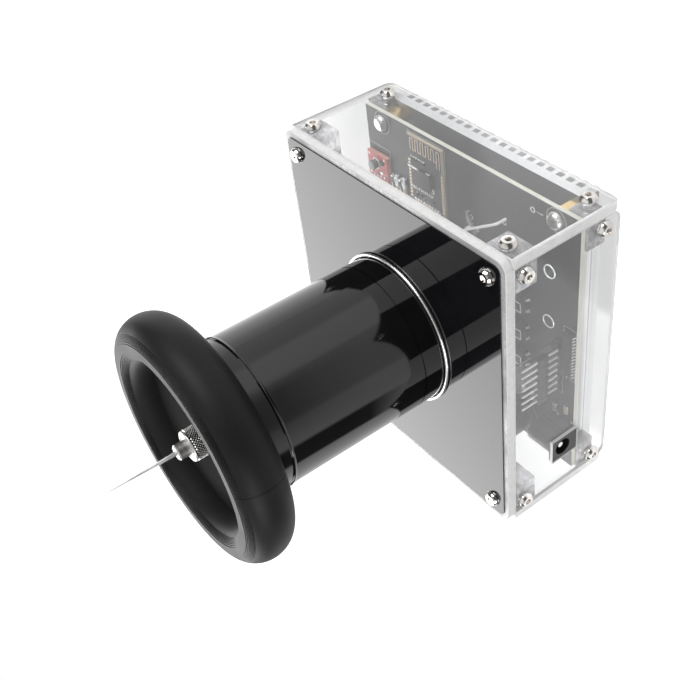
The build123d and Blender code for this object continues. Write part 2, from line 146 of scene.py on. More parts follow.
# scattered specks of dust, 1 inside a speck
rareAbove = 0.86    # cells whose random value is above this hold a speck
dustSpecks, gin, gout = newGroup("dustSpecks", [
    ("Scale", "NodeSocketFloat", 250.0), ("Size", "NodeSocketFloat", 0.06)])
cells = addNode(dustSpecks, "TexVoronoi", Vector=objectPoint(dustSpecks), Scale=gin["Scale"])
chosen = addNode(dustSpecks, "SeparateColor", Color=cells.outputs["Color"])
few = mathNode(dustSpecks, "GREATER_THAN", chosen.outputs[0], rareAbove)
near = mathNode(dustSpecks, "LESS_THAN", cells.outputs["Distance"], gin["Size"])
dustSpecks.links.new(times(dustSpecks, few, near), gout)

print("effects ready")


def mottled(tree, scale, low, high):
    return useGroup(tree, mottle, Scale=scale, Low=low, High=high)


def drawn(tree, stretch, low, high):
    return useGroup(tree, drawnLines, Stretch=stretch, Low=low, High=high)


def bumped(tree, bsdf, height, strength, distance=0.0002):
    bump = addNode(tree, "Bump", Strength=strength, Distance=distance, Height=height)
    tree.links.new(bump.outputs[0], bsdf.inputs["Normal"])


def tinted(tree, colour, *factors):
    for factor in factors:
        shade = addNode(tree, "CombineXYZ", None, {0: factor, 1: factor, 2: factor}).outputs[0]
        colour = mixColour(tree, 1.0, colour, shade, "MULTIPLY")
    return colour


# colour and roughness may be plain or vary over the surface; what stays fixed is set on the shader
def setShader(tree, bsdf, colour, roughness, **fixed):
    putInto(tree, bsdf.inputs["Base Color"], colour)
    putInto(tree, bsdf.inputs["Roughness"], roughness)
    for key, value in fixed.items():
        putInto(tree, bsdf.inputs[key.replace("_", " ")], value)


# lets shadow rays through in a colour, so that light reaches what stands behind clear acrylic
def passShadows(tree, bsdf, colour):
    shadow = addNode(tree, "LightPath").outputs["Is Shadow Ray"]
    through = addNode(tree, "BsdfTransparent", Color=colour)
    mix = addNode(tree, "MixShader")
    for socket, value in zip(mix.inputs, (shadow, bsdf.outputs[0], through.outputs[0])):
        tree.links.new(value, socket)
    tree.links.new(mix.outputs[0], tree.nodes["Material Output"].inputs["Surface"])


def axisDistance(tree):
    x, y = splitPoint(tree)[:2]
    return mathNode(tree, "SQRT", mathNode(tree, "ADD", times(tree, x, x), times(tree, y, y)))


def plainMaterial(name, colour, roughness, metallic=0.0, mottling=0.15, scale=600.0, bump=0.1, coat=0.0):
    mat, tree, bsdf = newMaterial(name)
    spread = mottled(tree, scale, 1.0 - mottling, 1.0 + mottling)
    setShader(tree, bsdf, tinted(tree, colour, spread), times(tree, spread, roughness, True),
              Metallic=metallic, Coat_Weight=coat)
    if bump:
        bumped(tree, bsdf, spread, bump)
    return mat


def linedMaterial(name, colour, roughness, stretch, metallic=1.0, depth=0.25, bump=0.15):
    mat, tree, bsdf = newMaterial(name)
    lines = drawn(tree, stretch, 1.0 - depth, 1.0 + depth)
    spread = mottled(tree, 120.0, 0.94, 1.04)
    setShader(tree, bsdf, tinted(tree, colour, lines, spread),
              times(tree, lines, roughness, True), Metallic=metallic)
    bumped(tree, bsdf, lines, bump)
    return mat


# clear acrylic: polished faces refract, with a haze and fine scratches on them
def clearMaterial(name, colour, throughColour, clarity, hazeHigh):
    mat, tree, bsdf = newMaterial(name)
    haze = mottled(tree, 60.0, 0.0, hazeHigh)
    scratches = drawn(tree, (900, 70, 900), 0.0, 0.02)
    setShader(tree, bsdf, tinted(tree, colour, mathNode(tree, "SUBTRACT", 1.0, haze)),
              mathNode(tree, "ADD", haze, scratches, True), IOR=acrylicIor, Transmission_Weight=clarity)
    passShadows(tree, bsdf, throughColour)
    return mat


def frostedMaterial():
    mat, tree, bsdf = newMaterial("frostedEdge")
    low, high = 0.9, 1.03
    sawn = drawn(tree, (700, 700, 700), low, high)
    broad = mottled(tree, 70.0, 0.95, 1.0)
    setShader(tree, bsdf, tinted(tree, (0.88, 0.875, 0.87), sawn, broad),
              mapRange(tree, sawn, low, high, 0.3, 0.5), IOR=acrylicIor, Transmission_Weight=0.25)
    bumped(tree, bsdf, sawn, 0.2)
    return mat


# gloss black with a few specks of dust, and a slight waviness that breaks up its reflections
speck = {"colour": (0.5, 0.5, 0.5), "cover": 0.35, "rough": 0.4}


def glossMaterial(name, base, roughness, wave, dust, stretch=None):
    mat, tree, bsdf = newMaterial(name)
    specks = useGroup(tree, dustSpecks, Scale=dust[0], Size=dust[1])
    spread = mottled(tree, 90.0, 0.8, 1.25)
    covered, rougher = times(tree, specks, speck["cover"]), times(tree, specks, speck["rough"])
    setShader(tree, bsdf, mixColour(tree, covered, tinted(tree, base, spread), speck["colour"]),
              mathNode(tree, "ADD", times(tree, spread, roughness), rougher, True))
    if stretch:
        height = drawn(tree, stretch, 0.0, 1.0)
    else:
        height = mottled(tree, 25.0, 0.0, 1.0)
    bumped(tree, bsdf, height, wave)
    return mat


# the ring is printed or turned: dull black, duller on its dish, with one seam along a meridian; in metres
ringFinish = {"seamTurn": 285, "seamCore": 0.00018, "seamEdge": 0.0004, "seamFrom": 0.0352,
              "dishEnd": 0.0265, "ringStart": 0.0295, "dishRough": 0.95, "ringRough": 0.5}


def ringMaterial(seamTurn, seamCore, seamEdge, seamFrom, dishEnd, ringStart, dishRough, ringRough):
    mat, tree, bsdf = newMaterial("ringBlack")
    point = objectPoint(tree)
    turn = math.radians(seamTurn)
    across = dotWith(tree, point, (math.sin(turn), -math.cos(turn), 0))
    along = dotWith(tree, point, (math.cos(turn), math.sin(turn), 0))
    line = mapRange(tree, mathNode(tree, "ABSOLUTE", across), seamCore, seamEdge, 1.0, 0.0)
    seam = times(tree, line, mathNode(tree, "GREATER_THAN", along, seamFrom))
    grain = mottled(tree, 900.0, 0.85, 1.15)
    broad = mottled(tree, 45.0, 0.9, 1.12)
    body = tinted(tree, (0.0068, 0.0068, 0.0072), grain, broad)
    dull = mapRange(tree, axisDistance(tree), dishEnd, ringStart, dishRough, ringRough)
    setShader(tree, bsdf, mixColour(tree, seam, body, (0.001, 0.001, 0.001)),
              times(tree, broad, dull, True), Specular_IOR_Level=0.2)
    bumped(tree, bsdf, mathNode(tree, "SUBTRACT", times(tree, grain, 0.12), seam), 0.3)
    return mat


# black solder mask over faint copper runs, with the pale glass-fibre edge of the board
def boardMaterial(name, mask, runs, edgeColour, roughness):
    mat, tree, bsdf = newMaterial(name)
    edge = useGroup(tree, plateEdge, Axis=(0, 0, 1))
    bricks = addNode(tree, "TexBrick", {"offset": 0.37, "squash": 1.6, "squash_frequency": 3},
                     Vector=objectPoint(tree), Scale=60.0, Mortar_Size=0.012, Color1=(0, 0, 0),
                     Color2=(0, 0, 0), Mortar=(1, 1, 1), Brick_Width=0.7, Row_Height=0.19).outputs[0]
    spread = mottled(tree, 300.0, 0.85, 1.15)
    face = tinted(tree, mixColour(tree, bricks, mask, runs), spread)
    fibres = drawn(tree, (200, 200, 4000), 0.85, 1.1)
    setShader(tree, bsdf, mixColour(tree, edge, face, tinted(tree, edgeColour, fibres)),
              times(tree, spread, mapRange(tree, edge, 0, 1, roughness, 0.6), True), Specular_IOR_Level=0.28)
    bumped(tree, bsdf, bricks, 0.15, 0.00004)
    return mat


# even turns along the axis, for windings and threads, with painted shade in each groove; pitch in metres
def turnedMaterial(name, colour, roughness, pitch):
    mat, tree, bsdf = newMaterial(name)
    turn = mathNode(tree, "SINE", times(tree, splitPoint(tree)[2], fullTurn / pitch))
    spread = mottled(tree, 500.0, 0.85, 1.1)
    # painted shade: the colour darkens towards the bottom of each groove between turns
    groove = times(tree, mapRange(tree, turn, -1, 1, 0.75, 1.0), spread)
    setShader(tree, bsdf, tinted(tree, colour, groove), times(tree, spread, roughness, True),
              Metallic=1.0)
    bumped(tree, bsdf, turn, 0.4, pitch / 4)
    return mat


# small sawn and flame-polished blocks: clear, with wavy faces that break up what shows through them
def blockMaterial():
    mat, tree, bsdf = newMaterial("clearBlock")
    waves = mottled(tree, 420.0, 0.0, 1.0)
    streaks = drawn(tree, (250, 250, 900), 0.0, 1.0)
    shade = mapRange(tree, times(tree, waves, streaks), 0.15, 0.4, 0.5, 1.0)
    setShader(tree, bsdf, tinted(tree, (0.97, 0.96, 0.99), shade),
              mapRange(tree, streaks, 0.3, 1.0, 0.02, 0.25), IOR=acrylicIor, Transmission_Weight=0.8)
    bumped(tree, bsdf, mathNode(tree, "ADD", waves, streaks), 0.6, 0.0003)
    passShadows(tree, bsdf, (0.85, 0.86, 0.88))
    return mat


# painted shade darkens the knurl's grooves; limits are radii in metres
def knurlMaterial(valley, peak):
    mat, tree, bsdf = newMaterial("knurlNickel")
    # painted shade: the colour falls to near black in the valleys and is full on the peaks
    knurlGrooveShade = mapRange(tree, axisDistance(tree), valley, peak, 0.05, 1.0)
    grain = mottled(tree, 1500.0, 0.85, 1.1)
    setShader(tree, bsdf, tinted(tree, (0.84, 0.825, 0.80), knurlGrooveShade, grain),
              times(tree, grain, 0.3, True), Metallic=1.0)
    bumped(tree, bsdf, grain, 0.1)
    return mat


# extruded heat sink: sawn, matt side faces, a smoother top painted darker, and painted shade inside its
# grooves; in metres
def sinkMaterial(grooveTop, grooveReach, flankReach, flankMiddle):
    mat, tree, bsdf = newMaterial("sinkAluminium")
    x, y, z = splitPoint(tree)
    side = useGroup(tree, plateEdge, Axis=(0, 0, 1))
    lines = drawn(tree, (12, 1300, 1300), 0.88, 1.04)
    fromMiddle = mathNode(tree, "ABSOLUTE", mathNode(tree, "SUBTRACT", y, flankMiddle))
    # mask of the painted groove shade: within the grooves' reach, below their top and off the flank
    inside = mathNode(tree, "LESS_THAN", mathNode(tree, "ABSOLUTE", x), grooveReach)
    for socket, limit in ((z, grooveTop), (fromMiddle, flankReach)):
        inside = times(tree, inside, mathNode(tree, "LESS_THAN", socket, limit))
    # painted shade: the top faces are painted darker than the sides, for the black board above them
    body = tinted(tree, mixColour(tree, side, (0.42, 0.42, 0.43), (0.86, 0.865, 0.87)), lines)
    # painted shade: inside the grooves the colour drops to 0.3 of itself
    setShader(tree, bsdf, tinted(tree, body, mapRange(tree, inside, 0, 1, 1.0, 0.3)),
              mapRange(tree, side, 0, 1, 0.2, 0.55), Metallic=0.85)
    bumped(tree, bsdf, lines, 0.12)
    return mat


clearFace = clearMaterial("clearFace", (0.955, 0.957, 0.96), (0.88, 0.89, 0.89), 0.975, 0.03)
milkyFace = clearMaterial("milkyFace", (0.79, 0.79, 0.795), (0.8, 0.8, 0.8), 0.35, 0.6)
clearBlock = blockMaterial()
frostedEdge = frostedMaterial()
sheetGloss = glossMaterial("sheetGloss", (0.006, 0.006, 0.007), 0.03, 0.02, (120.0, 0.03))
sleeveGloss = glossMaterial("sleeveGloss", (0.0052, 0.0052, 0.0056), 0.06, 0.02, (180.0, 0.04), (60, 60, 12))
tubeBlack = glossMaterial("tubeBlack", (0.005, 0.005, 0.0055), 0.13, 0.05, (160.0, 0.03), (400, 400, 60))
ringBlack = ringMaterial(**ringFinish)
nickel = plainMaterial("nickel", (0.80, 0.775, 0.745), 0.07, 1.0, 0.25, 300.0, 0.04)
frostedNickel = linedMaterial("frostedNickel", (0.56, 0.55, 0.535), 0.42, (900, 900, 5000), 1.0, 0.15, 0.2)
knurlNickel = knurlMaterial(0.00495, 0.00528)
needleSteel = linedMaterial("needleSteel", (0.88, 0.875, 0.86), 0.22, (1800, 1800, 90), 0.6, 0.35, 0.15)
wireSteel = linedMaterial("wireSteel", (0.90, 0.90, 0.89), 0.28, (300, 300, 300), 1.0, 0.1, 0.05)
tinned = plainMaterial("tinned", (0.85, 0.84, 0.81), 0.22, 1.0, 0.12, 700.0, 0.12)
pinBright = plainMaterial("pinBright", (0.92, 0.92, 0.91), 0.25, 0.3, 0.1, 900.0, 0.1)
solder = plainMaterial("solder", (0.66, 0.655, 0.64), 0.28, 0.45, 0.15, 900.0, 0.15)
brass = linedMaterial("brass", (0.86, 0.63, 0.29), 0.22, (500, 500, 3000), 1.0, 0.12, 0.12)
threadBrass = turnedMaterial("threadBrass", (0.80, 0.58, 0.27), 0.25, 0.0007)
copperTurns = turnedMaterial("copperTurns", (0.72, 0.33, 0.18), 0.3, 0.0003)
enamelWire = plainMaterial("enamelWire", (0.62, 0.25, 0.12), 0.25, 0.8, 0.15, 500.0, 0.05, 0.6)
stripAluminium = linedMaterial("stripAluminium", (0.74, 0.735, 0.745), 0.5, (8, 900, 900), 0.6, 0.42, 0.3)
sinkAluminium = sinkMaterial(0.00595, 0.0474, 0.0455, 0.002)

# mask, runs and edge colours of each board, then its roughness
boardBlack = boardMaterial(
    "boardBlack", (0.012, 0.012, 0.013), (0.022, 0.022, 0.023), (0.60, 0.59, 0.52), 0.42)
wirelessBlack = boardMaterial(
    "wirelessBlack", (0.011, 0.011, 0.012), (0.02, 0.02, 0.02), (0.55, 0.50, 0.38), 0.4)
boardRed = boardMaterial(
    "boardRed", (0.42, 0.008, 0.014), (0.50, 0.02, 0.025), (0.62, 0.30, 0.22), 0.25)
chipBlack = plainMaterial("chipBlack", (0.014, 0.014, 0.015), 0.6, 0.0, 0.2, 2500.0, 0.25)
plasticBlack = plainMaterial("plasticBlack", (0.014, 0.014, 0.015), 0.32, 0.0, 0.15, 1200.0, 0.08)
plugNylon = plainMaterial("plugNylon", (0.02, 0.02, 0.021), 0.5, 0.0, 0.2, 300.0, 0.15)
canGrey = plainMaterial("canGrey", (0.15, 0.17, 0.165), 0.4, 0.5, 0.15, 900.0, 0.1)
gold = plainMaterial("gold", (0.72, 0.56, 0.40), 0.35, 0.4, 0.12, 900.0, 0.08)
ceramicTan = plainMaterial("ceramicTan", (0.42, 0.33, 0.22), 0.4, 0.0, 0.15, 1500.0, 0.1)
glassyPart = plainMaterial("glassyPart", (0.20, 0.20, 0.20), 0.06, 0.0, 0.2, 600.0, 0.0, 0.8)
printWhite = plainMaterial("printWhite", (0.45, 0.45, 0.44), 0.5, 0.0, 0.2, 1500.0, 0.1)
cream = plainMaterial("cream", (0.80, 0.72, 0.55), 0.4, 0.0, 0.1, 900.0, 0.1)

finishes = {
    clearBlock: ["upper_corner_blocks", "lower_corner_blocks"],
    sheetGloss: ["top_sheet"],
    sleeveGloss: ["primary_sleeve", "secondary_sleeve"],
    tubeBlack: ["coil_former"],
    nickel: ["upper_side_screws", "lower_side_screws", "top_screws", "plug_screws", "transistor_screws"],
    wireSteel: ["foot_ring"],
    tinned: ["board_screws", "inlet_pin"],
    pinBright: ["link_wire"],
    brass: ["standoffs", "lock_nut"],
    threadBrass: ["terminal_stud"],
    copperTurns: ["primary_winding", "secondary_winding"],
    enamelWire: ["coil_leads"],
    sinkAluminium: ["heat_sink"],
    boardBlack: ["main_board"],
    wirelessBlack: ["wireless_board"],
    chipBlack: ["wireless_chip"],
    plasticBlack: ["power_inlet"],
    plugNylon: ["foot_plug", "tube_cap"],
}
for finish, names in finishes.items():
    for name in names:
        mesh = nodes[name].data
        mesh.materials.clear()
        mesh.materials.append(finish)
print("materials on", sum(len(n) for n in finishes.values()), "CAD nodes of", len(nodes))


bodySmooth = 30     # degrees between faces of a bevelled body that are shaded as one
bm = bmesh.new()    # the piece in work, in mm


# makes a piece of what bm holds and empties it; stands names the CAD nodes the piece stands in for
def addPiece(name, finishList, stands=(), smoothAngle=None, body="base"):
    bmesh.ops.recalc_face_normals(bm, faces=bm.faces)
    bmesh.ops.scale(bm, vec=(mm, mm, mm), verts=bm.verts)
    mesh = bpy.data.meshes.new(name)
    bm.to_mesh(mesh)
    bm.clear()
    for finish in finishList:
        mesh.materials.append(finish)
    if smoothAngle:
        mesh.polygons.foreach_set("use_smooth", [True] * len(mesh.polygons))
        mesh.set_sharp_from_angle(angle=math.radians(smoothAngle))
    piece = bpy.data.objects.new(name, mesh)
    scene.collection.objects.link(piece)
    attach(piece, body)
    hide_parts(*stands)


def painted(verts, slotIndex):
    for face in {f for v in verts for f in v.link_faces}:
        face.material_index = slotIndex


# box of a size that stands on its lowest point, turned about +Z, with its edges bevelled
def block(foot, size, slotIndex=0, bevel=0.0, turn=0.0):
    x, y, z = foot
    place = Matrix.Translation((x, y, z + size[2] / 2)) @ Matrix.Rotation(math.radians(turn), 4, "Z")
    verts = bmesh.ops.create_cube(bm, size=1.0, matrix=place @ Matrix.Diagonal((*size, 1.0)))["verts"]
    painted(verts, slotIndex)
    if bevel:
        edges = list(dict.fromkeys(e for v in verts for e in v.link_edges))
        made = bmesh.ops.bevel(bm, geom=edges, offset=bevel, segments=2, affect="EDGES",
                               profile=0.5, material=-1)
        for face in made["faces"]:
            face.material_index = slotIndex


def disc(foot, radius, height, slotIndex=0, segments=24, topRadius=None, axis=None):
    place = Matrix.Translation(foot)
    if axis:
        place = place @ Vector(axis).to_track_quat("Z", "Y").to_matrix().to_4x4()
    place = place @ Matrix.Translation((0, 0, height / 2))
    if topRadius is None:
        topRadius = radius
    made = bmesh.ops.create_cone(bm, cap_ends=True, segments=segments, radius1=radius, radius2=topRadius,
                                 depth=height, matrix=place)
    painted(made["verts"], slotIndex)


spinMerge = 1e-5    # mm


# turns a profile of (radius, height) points round an upright axis
def turned(profile, steps, slotIndex=0, centre=(0, 0, 0), closed=False):
    cx, cy, cz = centre
    verts = [bm.verts.new((cx + r, cy, cz + z)) for r, z in profile]
    pairs = list(zip(verts, verts[1:])) + ([(verts[-1], verts[0])] if closed else [])
    edges = [bm.edges.new(pair) for pair in pairs]
    before = set(bm.faces)
    bmesh.ops.spin(bm, geom=verts + edges, cent=centre, axis=(0, 0, 1), angle=fullTurn, steps=steps,
                   use_merge=True)
    bmesh.ops.remove_doubles(bm, verts=bm.verts, dist=spinMerge)
    for face in set(bm.faces) - before:
        face.material_index = slotIndex


# round wire through points, with small joints at its bends
def wire(points, radius, slotIndex=0, segments=10):
    for start, end in zip(points, points[1:]):
        run = Vector(end) - Vector(start)
        disc(start, radius, run.length, slotIndex, segments, axis=run)
    for point in points[1:-1]:
        made = bmesh.ops.create_icosphere(bm, subdivisions=1, radius=radius, matrix=Matrix.Translation(point))
        painted(made["verts"], slotIndex)


# clear plates: the CAD plate's outline and holes, with broken edges and sawn, frosted sides
plate = {"faceLimit": 0.9, "outline": 1.3, "break": 0.28, "flat": math.radians(1.0), "merge": 1e-3,
         "shrink": 0.03}


def clearPlate(name, node, axis, flatFinish=clearFace):
    bm.from_mesh(nodes[node].data)
    bmesh.ops.scale(bm, vec=(1 / mm, 1 / mm, 1 / mm), verts=bm.verts)
    bmesh.ops.remove_doubles(bm, verts=bm.verts, dist=plate["merge"])
    bmesh.ops.dissolve_limit(bm, angle_limit=plate["flat"], verts=bm.verts, edges=bm.edges)
    bmesh.ops.recalc_face_normals(bm, faces=bm.faces)
    normal = Vector(axis)
    across = [i for i in range(3) if not axis[i]]
    low = [min(v.co[i] for v in bm.verts) for i in across]
    high = [max(v.co[i] for v in bm.verts) for i in across]

    def onOutline(edge):
        sides = [abs(f.normal.dot(normal)) > plate["faceLimit"] for f in edge.link_faces]
        middle = (edge.verts[0].co + edge.verts[1].co) / 2
        inset = min(min(middle[i] - lo, hi - middle[i]) for i, lo, hi in zip(across, low, high))
        return sides.count(True) == 1 and inset < plate["outline"]

    outline = [e for e in bm.edges if onOutline(e)]
    bmesh.ops.bevel(bm, geom=outline, offset=plate["break"], segments=1, affect="EDGES",
                    profile=0.5, material=-1)
    bm.normal_update()
    for face in bm.faces:
        face.material_index = 0 if abs(face.normal.dot(normal)) > plate["faceLimit"] else 1
    # a hair smaller, so that plates and blocks that touch don't share a surface
    for i in range(3):
        lo, hi = min(v.co[i] for v in bm.verts), max(v.co[i] for v in bm.verts)
        middle, keep = (lo + hi) / 2, 1 - 2 * plate["shrink"] / (hi - lo)
        for v in bm.verts:
            v.co[i] = middle + (v.co[i] - middle) * keep
    addPiece(name, [flatFinish, frostedEdge], [node], bodySmooth)


# the top plate is greyer and cloudy, less clear, where the sheet leaves its margin bare
clearPlate("topPlate", "top_panel", (0, 0, 1), milkyFace)
for side, axis in (("right", (1, 0, 0)), ("left", (1, 0, 0)), ("rear", (0, 1, 0)), ("front", (0, 1, 0))):
    clearPlate(side + "Plate", side + "_panel", axis)
print("plates ready")

# the sleeve's shrunk end stands up as a small lip round the tube
lip = {"from": 108.5, "to": 109.45, "inner": 25.62, "foot": 26.0, "outer": 26.3, "steps": 160}
low, high, inner, outer = pick(lip, "from to inner outer")
turned([(inner, low), (lip["foot"], low), (outer - 0.05, high - 0.4), (outer, high - 0.2),
        (outer - 0.12, high), (inner, high)], lip["steps"], closed=True)
addPiece("sleeveLip", [sleeveGloss], smoothAngle=bodySmooth)

# ring-shaped top load: oval section with fine terraces round its crest, and the dish inside it
ring = {"radius": 34.7, "halfWidth": 7.4, "halfHeight": 8.5, "level": 125.3, "bore": 2.0,
        "dishThickness": 2.0, "terraceHeight": 0.19, "terraces": 9, "riser": 0.02, "steps": 180,
        "arcStep": 4, "smooth": 9}


radius, halfWidth, halfHeight, level = pick(ring, "radius halfWidth halfHeight level")
riser, arcStep, thickness = pick(ring, "riser arcStep dishThickness")


def ovalHeight(offset):
    return level + halfHeight * math.sqrt(1 - (offset / halfWidth) ** 2)


def ovalPoints(degrees):
    return [(radius + halfWidth * math.cos(math.radians(a)), level + halfHeight * math.sin(math.radians(a)))
            for a in degrees]


terraceEdges = [halfWidth * math.sqrt(1 - (1 - k * ring["terraceHeight"] / halfHeight) ** 2)
                for k in range(1, ring["terraces"] + 1)]
crestEnd = math.degrees(math.acos(terraceEdges[-1] / halfWidth))
dishMeet = math.degrees(math.asin(thickness / halfHeight)) - 180
crest = []
for here, after in zip(terraceEdges, terraceEdges[1:]):
    crest += [(here - riser, ovalHeight(here)), (here + riser, ovalHeight(after))]
crest.append((terraceEdges[-1], ovalHeight(terraceEdges[-1])))
profile = [(ring["bore"], level)] + ovalPoints(range(180, int(180 - crestEnd), -arcStep))
profile += [(radius - d, z) for d, z in reversed(crest)] + [(radius + d, z) for d, z in crest]
profile += ovalPoints(range(int(crestEnd) - arcStep // 2, int(dishMeet + 360) - 360, -arcStep))
profile += ovalPoints([dishMeet]) + [(ring["bore"], level - thickness)]
turned(profile, ring["steps"], closed=True)
addPiece("ringLoad", [ringBlack], ["top_load"], ring["smooth"], "load")
print("ring ready")

# knurled nut: rows of pyramids between two plain rims, with its boss in front
nut = {"foot": 125.4, "height": 5.1, "radius": 5.35, "knurl": (0.55, 4.45), "columns": 68, "rows": 9,
       "depth": 0.42, "rimShare": 0.7, "chamfer": 0.4, "footRim": 4.7, "faceRim": 4.35,
       "faceDrop": 0.25, "bossRadius": 2.6, "bossHeight": 3.8, "bossChamfer": 0.35, "fillet": 0.15,
       "bore": 2.0, "boreDepth": 4.3, "needleBore": 0.75, "needleDepth": 3.0}
foot, outerRadius, columns, rows, depth, chamfer = pick(nut, "foot radius columns rows depth chamfer")
boss, bossChamfer, fillet, needleBore, faceRim = pick(nut, "bossRadius bossChamfer fillet needleBore faceRim")
low, high = nut["knurl"]
rowStep = (high - low) / (rows - 1)
turned([(outerRadius, foot + (low + (high - low) * j / (rows - 1))) for j in range(rows)], columns)
for v in bm.verts:
    column = round(math.atan2(v.co.y, v.co.x) / fullTurn * columns)
    row = round((v.co.z - foot - low) / rowStep)
    outer = row in (0, rows - 1)
    if (column + row) % 2 or outer:
        shrink = (outerRadius - depth * (nut["rimShare"] if outer else 1.0)) / outerRadius
        v.co.x *= shrink
        v.co.y *= shrink
bmesh.ops.triangulate(bm, faces=bm.faces, quad_method="SHORT_EDGE")
rimRadius = outerRadius - depth * nut["rimShare"]
top = foot + nut["height"]
face = top - nut["faceDrop"]
bossTop = top + nut["bossHeight"]
turned([(nut["bore"], foot + nut["boreDepth"]), (nut["bore"], foot), (nut["footRim"], foot),
        (rimRadius, foot + chamfer), (rimRadius, foot + low)], columns, 1)
turned([(rimRadius, foot + high), (outerRadius - 0.1, foot + high + 0.12), (outerRadius - 0.1, top - chamfer),
        (outerRadius - 0.25, top - fillet), (outerRadius - chamfer - 0.1, top), (faceRim, top),
        (faceRim - 0.3, face), (boss + fillet, face), (boss, face + fillet), (boss, bossTop - bossChamfer),
        (boss - bossChamfer, bossTop), (needleBore + fillet, bossTop), (needleBore, bossTop - fillet),
        (needleBore, bossTop - nut["needleDepth"])], columns, 1)
addPiece("knurledNut", [knurlNickel, frostedNickel], ["thumb_nut"], 20, "terminal")

# needle: straight taper down to a small round point
needle = {"root": 130.9, "shoulder": 134.3, "tip": 156.3, "radius": 0.75, "tipRadius": 0.08,
          "tipDrop": 0.05, "rows": 12, "steps": 28}
radius, root, shoulder, rows = pick(needle, "radius root shoulder rows")
narrowing, length = needle["tipRadius"] - radius, needle["tip"] - needle["tipDrop"] - shoulder
taper = [(radius + narrowing * k / rows, shoulder + length * k / rows) for k in range(rows + 1)]
turned([(0, root), (radius, root)] + taper + [(0, needle["tip"])], needle["steps"])
addPiece("needlePoint", [needleSteel], ["needle"], 40, "terminal")
print("terminal ready")

# pin header: a row of square cells low on the board, a second row above it, and pointed pins
header = {"x": -8.2, "y": -43.2, "pitch": 2.77, "count": 7, "width": 2.3, "gap": 0.02, "bevel": 0.175,
          "cells": ((0.0, 1.2), (6.2, 4.0)), "pin": 0.5, "pinTop": 17.0, "point": 0.5, "blunt": 0.6}
headerPlaces = [header["x"] + (i - (header["count"] - 1) / 2) * header["pitch"]
                for i in range(header["count"])]
for x in headerPlaces:
    for level, height in header["cells"]:
        size = (header["pitch"] - header["gap"], header["width"], height)
        block((x, header["y"], boardTop + level), size, 0, header["bevel"])
addPiece("headerCells", [plasticBlack], ["header_blocks"], bodySmooth)
half, shaft = header["pin"] / 2, header["pinTop"] - header["point"]
for x in headerPlaces:
    block((x, header["y"], boardTop), (header["pin"], header["pin"], shaft))
    place = Matrix.Translation((x, header["y"], boardTop + shaft + header["point"] / 2))
    bmesh.ops.create_cone(bm, cap_ends=True, segments=4, radius1=half * math.sqrt(2),
                          radius2=half * header["blunt"], depth=header["point"],
                          matrix=place @ Matrix.Rotation(math.pi / 4, 4, "Z"))
addPiece("headerPins", [pinBright], ["header_pins"], 25)

# long controller: bevelled body with a row of bent leads on each side
controller = {"x": 0.0, "y": -47.25, "size": (18.0, 3.9, 1.6), "bevel": 0.15, "lift": 0.35,
              "dot": (1.1, 1.0, 0.35), "pitch": 1.27, "leads": 14, "leadWidth": 0.42,
              # a lead's shoulder, bend and foot: distance from the middle line, level, reach, height, bevel
              "lead": ((2.05, 1.0, 0.4, 0.2, 0.05), (2.15, 0.1, 0.2, 1.0, 0.0), (2.5, 0.0, 0.7, 0.2, 0.0))}
cx, cy = controller["x"], controller["y"]
length, width, height = controller["size"]
block((cx, cy, boardTop + controller["lift"]), controller["size"], 0, controller["bevel"])
inX, inY, dotRadius = controller["dot"]
disc((cx - length / 2 + inX, cy - width / 2 + inY, boardTop + controller["lift"] + height),
     dotRadius, hairline, 2, 16)
for side in (1, -1):
    for i in range(controller["leads"]):
        x = cx + (i - (controller["leads"] - 1) / 2) * controller["pitch"]
        for out, level, reach, high, bevel in controller["lead"]:
            place = (x, cy + side * out, boardTop + level)
            block(place, (controller["leadWidth"], reach, high), 1, bevel)
addPiece("controllerBody", [chipBlack, solder, printWhite], ["controller_chip"],
         bodySmooth)

# driver transistors: moulded body with a painted highlight frame along its moulded edge, wide tab behind it
# and two bent leads in front
driver = {"places": ((9.5, -25.5), (-2.0, -25.5), (-13.5, -25.5)), "size": (6.6, 6.1, 2.2), "lift": 0.05,
          "tab": (5.3, 3.2, 0.6), "overlap": 0.3, "hook": (1.6, 1.0, 0.9), "hookAt": (5.85, 0.3),
          "bevel": 0.25, "leadPitch": 4.6,
          "outline": (3.6, 4.4), "outlineAt": (-1.2, 0.4, 2.2), "line": (0.35, 0.1),
          # a lead's shoulder, bend and foot: distance in front of the body, level, size and bevel
          "lead": ((0.25, 0.85, (0.9, 0.7, 0.35), 0.08), (0.45, 0.1, (0.9, 0.3, 0.95), 0.05),
                   (0.5, 0.0, (0.9, 0.9, 0.25), 0.05))}
bodyLength, tabLength = driver["size"][1], driver["tab"][1]
outX, outY, outZ = driver["outlineAt"]
line, lineHeight = driver["line"]
hookY, hookZ = driver["hookAt"]
for x, y in driver["places"]:
    block((x, y, boardTop + driver["lift"]), driver["size"], 0, driver["bevel"])
    # a painted highlight along its moulded edge: a thin bright frame
    sideX, sideY = driver["outline"][0] / 2, driver["outline"][1] / 2
    for side in (1, -1):
        block((x + outX + side * sideX, y + outY, boardTop + outZ), (line, 2 * sideY, lineHeight), 2)
        block((x + outX, y + outY + side * sideY, boardTop + outZ), (2 * sideX, line, lineHeight), 2)
    block((x, y + (bodyLength + tabLength) / 2 - driver["overlap"], boardTop), driver["tab"], 1, 0.1)
    block((x, y + hookY, boardTop + hookZ), driver["hook"], 1, 0.1)
    for side in (1, -1):
        for ahead, level, size, bevel in driver["lead"]:
            place = (x + side * driver["leadPitch"] / 2, y - bodyLength / 2 - ahead, boardTop + level)
            block(place, size, 1, bevel)
addPiece("driverBodies", [chipBlack, solder, pinBright], ["driver_transistors"],
         bodySmooth)

